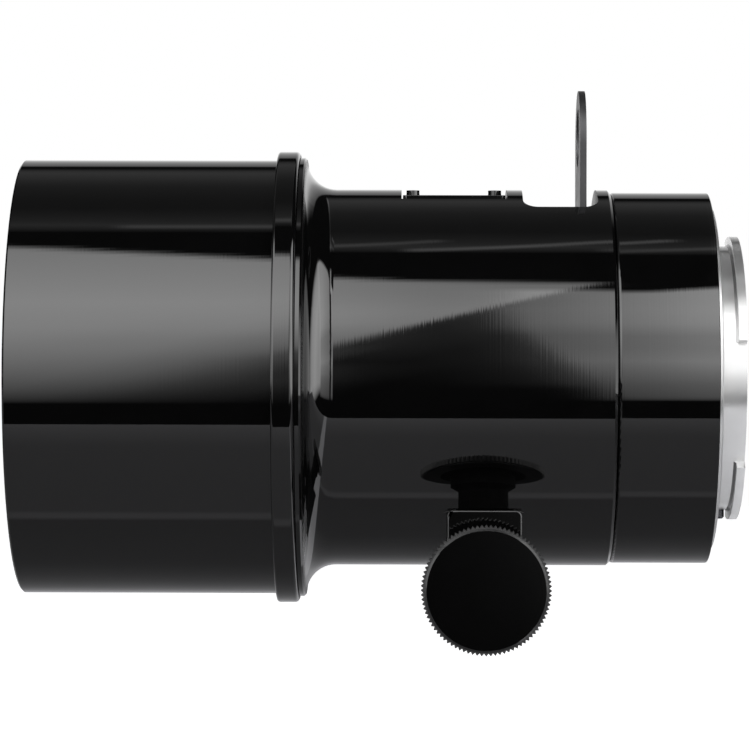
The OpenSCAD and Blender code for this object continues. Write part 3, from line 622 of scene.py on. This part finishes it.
RIGHT_SPREAD = [
    (55, 0.65), (81, 0.87), (98, 1.0), (115, 1.2), (129, 1.42), (145, 1.45), (150, 0.05), (190, 0.05),
    (205, 1.0), (700, 1.4), (880, 1.4), (1100, 0.0),
]
RIGHT_TOP = [(25, 54), (81, 53.6), (98, 52.8), (130, 56), (300, 68), (800, 86), (1100, 92)]
CEILING_LEVEL = [
    (80, 0.0), (82, 0.16), (85, 0.34), (88, 0.23), (92, 0.15), (95, 0.11), (98, 0.077), (105, 0.08),
    (118, 0.122), (128, 0.22), (135, 0.26), (139, 0.15), (142, 0.0),
]
CEILING_SPREAD = [(-1200, 1.0), (134, 1.0), (138, 3.0), (168, 3.0), (172, 0.0)]
CEILING_COLUMNS = [-1200, -400] + [-200 + 8 * i for i in range(41)] + [134, 138, 150, 168, 172]
CEILING_ROWS = [80 + 0.5 * i for i in range(30)] + [95 + 1.5 * i for i in range(33)]
# Slanting tubes along the ceiling's near edge: (across, elevation) points and level of each, and half their
# width in degrees
TUBES = [
    ([(-130, 84), (-56, 84.3), (-30, 86), (-6, 88), (15, 90.5)], 0.5),
    ([(-6, 82), (15, 83), (37, 84.5), (59, 86.5), (81, 89), (98, 90.5), (115, 92.5)], 0.9),
    ([(81, 82), (98, 83.5), (115, 84.3), (140, 86)], 0.45),
]
TUBE_HALF = 2.0
# Strip over the right softbox that only the mount reflects
STRIP_LEVEL = [(50, 0.0), (53, 3.5), (66, 3.5), (69, 0.0)]
STRIP_SPREAD = [(137, 0.0), (140, 1.0), (168, 1.0), (172, 0.0)]
STRIP_ROWS = [e for e, level in STRIP_LEVEL]
STRIP_COLUMNS = [place for place, share in STRIP_SPREAD]
BOX_ROWS = [-14 + 1.5 * i for i in range(73)]
INNER_COLUMNS = [-16, -8, -4, 0, 4, 8, 16, 30, 42, 60, 75, 90]
RIGHT_COLUMNS = [-90, -65, -50, -36, -24] + INNER_COLUMNS + [98, 103, 108, 115, 130, 143, 150, 158, 170]
RIGHT_COLUMNS += [200 + 40 * i for i in range(22)] + [1060]
OUTER_COLUMNS = [-1100, -700] + [-400 + 16 * i for i in range(24)]
# How a softbox's top edge fades, by degrees under it
TOP_FADE = [(-1, 0.0), (1.5, 1.0)]


def below(top, e):
    """1 under a softbox's top edge, 0 above it."""
    return between(top - e, TOP_FADE)


def softbox_glow(offset, e, level, edge, profile, top, spread):
    across = offset + between(e, edge)
    share = between(across, spread) * between_rows(offset, e, profile)
    return between(e, level) * share * below(between(across, top), e)


def left_glow(offset, e):
    return softbox_glow(offset, e, LEFT_LEVEL, LEFT_EDGE, LEFT_PROFILE, LEFT_TOP, LEFT_SPREAD)


def right_glow(offset, e):
    return softbox_glow(offset, e, RIGHT_LEVEL, RIGHT_EDGE, RIGHT_PROFILE, RIGHT_TOP, RIGHT_SPREAD)


def strip_glow(offset, e):
    return between(e, STRIP_LEVEL) * between(offset, STRIP_SPREAD)


def ceiling_glow(offset, e):
    level = between(e, CEILING_LEVEL) * between(offset, CEILING_SPREAD)
    for line, tube_level in TUBES:
        if line[0][0] <= offset <= line[-1][0]:
            level += tube_level * max(0.0, 1 - abs(e - between(offset, line)) / TUBE_HALF)
    return level


# Distance of each sheet from the optical axis in metres, a little apart so that none lies in another
LEFT_REACH, RIGHT_REACH, CEILING_REACH, STRIP_REACH = 1.0, 1.03, 1.06, 1.02
# An edge that doesn't slant, so that offsets are places across
NO_SLANT = [(0, 0)]

scrim("softbox_left", LEFT_REACH, BOX_ROWS, OUTER_COLUMNS + INNER_COLUMNS, LEFT_EDGE, left_glow)
scrim("softbox_right", RIGHT_REACH, BOX_ROWS, RIGHT_COLUMNS, RIGHT_EDGE, right_glow)
scrim("ceiling", CEILING_REACH, CEILING_ROWS, CEILING_COLUMNS, NO_SLANT, ceiling_glow)
scrim("mount_strip", STRIP_REACH, STRIP_ROWS, STRIP_COLUMNS, NO_SLANT, strip_glow)


PANEL_STEPS = 32
# Share of a panel's level by the share of its height
PANEL_RISE = [(0.0, 0.0), (0.08, 0.9), (0.5, 1.0), (0.92, 0.9), (1.0, 0.0)]
# Where the panel behind the mount gives way to the end of the right softbox, by distance from the axis
PANEL_FADE = [(1.13, 1.0), (1.43, 0.0)]
# Each panel's place along the axis and heights from and to, then (y, level) stops across. Lengths in metres
MOUNT_PANEL = (1.15, -0.25, 1.5)
MOUNT_PANEL_ACROSS = [
    (-1.43, 5.5), (-0.92, 5.5), (-0.55, 6.4), (-0.2, 5.2), (-0.08, 3.6), (0.06, 0.0),
]
HOOD_PANEL = (-1.25, -0.1, 0.9)
HOOD_PANEL_ACROSS = [(-0.9, 0.0), (-0.8, 3.0), (-0.4, 3.6), (0.0, 3.0), (0.1, 0.0)]
NO_FADE = [(0.0, 1.0)]


def end_panel(name, x, low, high, across, fade):
    """An upright panel square to the axis, from z low to high, with (y, level) stops across it."""
    near, far = across[0][0], across[-1][0]
    shares = [k / PANEL_STEPS for k in range(PANEL_STEPS + 1)]
    columns = [near + (far - near) * u for u in shares]
    grid, levels = [], []
    for v in shares:
        z = low + (high - low) * v
        grid.append([(x, y, z) for y in columns])
        rise = between(v, PANEL_RISE)
        levels.append([between(y, across) * rise * between(math.hypot(y, z), fade) for y in columns])
    glowing_sheet(name, grid, levels)


end_panel("panel_behind_mount", *MOUNT_PANEL, MOUNT_PANEL_ACROSS, PANEL_FADE)
end_panel("panel_before_hood", *HOOD_PANEL, HOOD_PANEL_ACROSS, NO_FADE)


# Floor: grey paper, darker over its back part as a painted shadow of the lens, paler far behind, and a white
# card beside the mount. The camera sees it white, but for the lens's soft shadow

FLOOR_Z = -110.0 * MM
FLOOR_FRONT = -255.0 * MM
FLOOR_BACK = 2.5
FLOOR_SIDE = 2.5
# Tones at the front edge, from there to the edge of the painted shadow of the lens, along that edge, and from
# it to the far back
FRONT_TONE, NEAR_TONE, LINE_TONE, SHADOW_TONE, BACK_TONE = 0.29, 0.19, 0.27, 0.14, 0.6
FRONT_FADE = 90.0 * MM
SHADOW_EDGE = -45.0 * MM
PAPER_LINE = 4.0 * MM
BACK_FADE = (0.02, 0.3)
# The card's near side slants out with distance from a line under the axis, and both its sides are soft
CARD_TONE = 0.8
CARD_W = 45.0 * MM
CARD_HUB = -15.0 * MM
CARD_SLANT = 0.085
CARD_SOFT = (3.0 * MM, 10.0 * MM)
# What the camera sees instead: the paper's tone, and a glow that grows with distance from the lens
SEEN_TONE = 0.8
GLOW_FROM, GLOW_TO = (0.2, 0.25), (0.6, 0.8)


def floor_paper():
    s = Shader("floor_paper")
    seen = s.add("ShaderNodeLightPath").outputs["Is Camera Ray"]
    depth = s.along("Y")

    def fade(start, end):
        return s.remap(depth, start, end, 0.0, 1.0)

    near = s.shade([grey(FRONT_TONE), grey(NEAR_TONE)], fade(FLOOR_FRONT, FLOOR_FRONT + FRONT_FADE))
    line = s.shade([near, grey(LINE_TONE)], fade(SHADOW_EDGE - 2 * PAPER_LINE, SHADOW_EDGE - PAPER_LINE))
    # Painted shadow of the lens: darker from its edge back, paling far behind
    painted_shadow = s.shade([grey(SHADOW_TONE), grey(BACK_TONE)], fade(*BACK_FADE))
    under = s.shade([line, painted_shadow], fade(SHADOW_EDGE, SHADOW_EDGE + PAPER_LINE))
    slant = s.math("MULTIPLY", s.radius("Y", "Z", (0.0, CARD_HUB)), CARD_SLANT)
    across = s.math("SUBTRACT", s.along("X"), slant)
    card_start = s.remap(across, 0.0, CARD_SOFT[0], 0.0, 1.0)
    card_end = s.remap(across, CARD_W, CARD_W + CARD_SOFT[1], 1.0, 0.0)
    carded = s.shade([under, grey(CARD_TONE)], s.math("MULTIPLY", card_start, card_end))
    paper = s.add("ShaderNodeBsdfDiffuse", Color=s.shade([carded, grey(SEEN_TONE)], seen))
    far = s.remap(s.radius("X", "Y"), GLOW_FROM[0], GLOW_TO[0], GLOW_FROM[1], GLOW_TO[1])
    glow = s.add("ShaderNodeEmission", Strength=s.math("MULTIPLY", seen, far))
    return s.finish(s.sum(paper, glow))


def lay_floor():
    corners = [
        (-FLOOR_SIDE, FLOOR_FRONT, FLOOR_Z), (FLOOR_SIDE, FLOOR_FRONT, FLOOR_Z),
        (FLOOR_SIDE, FLOOR_BACK, FLOOR_Z), (-FLOOR_SIDE, FLOOR_BACK, FLOOR_Z),
    ]
    mesh = bpy.data.meshes.new("floor")
    mesh.from_pydata(corners, [], [(0, 1, 2, 3)])
    mesh.materials.append(floor_paper())
    floor = bpy.data.objects.new("floor", mesh)
    scene.collection.objects.link(floor)


lay_floor()


# White surround for what the camera sees, straight or through glass. Reflections see it only behind the
# object, and a dim room elsewhere

DIM_ROOM = 0.008
AMBIENT = 0.25
# Level of the reflected backdrop by height, up to its top edge, and where its sides and front fade in
BACKDROP = [(0.0, 1.05), (0.21, 0.97), (0.29, 0.64), (0.36, 0.5), (0.45, 0.37), (0.495, 0.3), (0.53, 0.0)]
LEFT_FADE = (-0.34, -0.18)
RIGHT_FADE = (0.62, 0.38)
BEHIND_FADE = (0.0, 0.15)


def surround():
    world = bpy.data.worlds.new("studio")
    scene.world = world
    world.use_nodes = True
    w = Graph(world.node_tree)
    view = w.add("ShaderNodeTexCoord").outputs["Generated"]
    direction = w.add("ShaderNodeSeparateXYZ", Vector=view)
    ramp = w.add("ShaderNodeValToRGB", Fac=direction.outputs["Z"])
    while len(ramp.color_ramp.elements) < len(BACKDROP):
        ramp.color_ramp.elements.new(1.0)
    for element, (height, level) in zip(ramp.color_ramp.elements, BACKDROP):
        element.position = height
        element.color = (level, level, level, 1.0)
    left = w.smooth(direction.outputs["X"], *LEFT_FADE)
    right = w.smooth(direction.outputs["X"], *RIGHT_FADE)
    behind = w.smooth(direction.outputs["Y"], *BEHIND_FADE)
    patch = w.math("MULTIPLY", behind, w.math("MULTIPLY", left, right))
    backdrop = w.math("MULTIPLY", patch, ramp.outputs["Color"])
    path = w.add("ShaderNodeLightPath").outputs
    straight = w.math("MAXIMUM", path["Is Camera Ray"], path["Is Transmission Ray"])
    glossy = w.math("MULTIPLY", path["Is Glossy Ray"], w.math("MAXIMUM", backdrop, DIM_ROOM))
    diffuse = w.math("MULTIPLY", path["Is Diffuse Ray"], AMBIENT)
    strength = w.math("MAXIMUM", straight, w.math("MAXIMUM", glossy, diffuse))
    white = w.add("ShaderNodeBackground", Color=(1.0, 1.0, 1.0, 1.0), Strength=strength)
    w.add("ShaderNodeOutputWorld", Surface=white.outputs[0])


surround()
